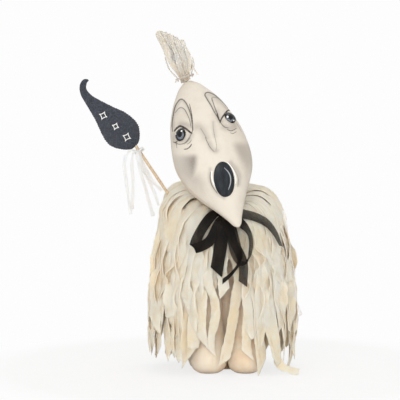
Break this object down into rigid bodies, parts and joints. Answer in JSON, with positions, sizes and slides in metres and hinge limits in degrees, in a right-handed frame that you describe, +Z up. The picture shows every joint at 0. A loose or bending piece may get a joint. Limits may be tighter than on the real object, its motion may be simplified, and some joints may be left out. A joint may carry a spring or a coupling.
{
  "type": "cloth ghost doll",
  "caption": "Standing cloth ghost doll with a painted pointed head, a robe of torn muslin strips, a ribbon bow and a stuffed felt sign on a stick.",
  "frame": {"origin": "on the floor under the neck's axis, on the flat bottom of the body", "axes": "+Z up, -Y the way that the doll faces, +X to the right as the doll is seen from the front"},
  "size_m": [0.219, 0.1478, 0.3411],
  "materials": {
    "stuffed_body": "tan stained muslin",
    "stuffed_legs": "tan stained muslin, stuffed",
    "painted_head": "cloth painted cream with grey ink lines and shading",
    "eye_beads": "glossy domed bead with a blue grey iris",
    "mouth": "black paint with a soft sheen",
    "ribbon": "sheer black organza with denser edges",
    "felt_sign": "black felt, stuffed and sewn at the edge",
    "stick": "bare birch dowel",
    "robe_strips": "torn tea stained muslin with frayed edges",
    "pale_strips": "torn pale muslin",
    "topknot": "torn tea stained muslin",
    "thread": "cotton thread"
  },
  "bodies": {
    "root": {"body": "stuffed_body", "eye_left": "eye_beads", "eye_right": "eye_beads", "head": "painted_head", "leg_left": "stuffed_legs", "leg_right": "stuffed_legs", "mouth": "mouth", "neck_bow": "ribbon", "sign": "felt_sign", "sign_tie": "pale_strips", "stick": "stick", "streamer_1": "pale_strips", "streamer_2": "pale_strips", "streamer_3": "pale_strips", "streamer_4": "pale_strips", "streamer_5": "pale_strips", "strip_01": "robe_strips", "strip_02": "robe_strips", "strip_03": "robe_strips", "strip_04": "robe_strips", "strip_05": "robe_strips", "strip_06": "robe_strips", "strip_07": "robe_strips", "strip_08": "robe_strips", "strip_09": "robe_strips", "strip_10": "robe_strips", "strip_11": "robe_strips", "strip_12": "robe_strips", "strip_13": "robe_strips", "strip_14": "robe_strips", "strip_15": "robe_strips", "strip_16": "robe_strips", "strip_17": "robe_strips", "strip_18": "robe_strips", "strip_19": "robe_strips", "strip_20": "robe_strips", "strip_21": "robe_strips", "strip_22": "robe_strips", "strip_23": "robe_strips", "strip_24": "robe_strips", "strip_25": "robe_strips", "strip_26": "robe_strips", "strip_27": "robe_strips", "strip_28": "robe_strips", "strip_29": "robe_strips", "strip_30": "robe_strips", "strip_31": "robe_strips", "strip_32": "robe_strips", "strip_33": "robe_strips", "strip_34": "robe_strips", "strip_35": "robe_strips", "strip_36": "robe_strips", "topknot_end_1": "topknot", "topknot_end_2": "topknot", "topknot_loop_1": "topknot", "topknot_loop_2": "topknot", "topknot_loop_3": "topknot", "topknot_tie": "thread"}
  },
  "joints": []
}
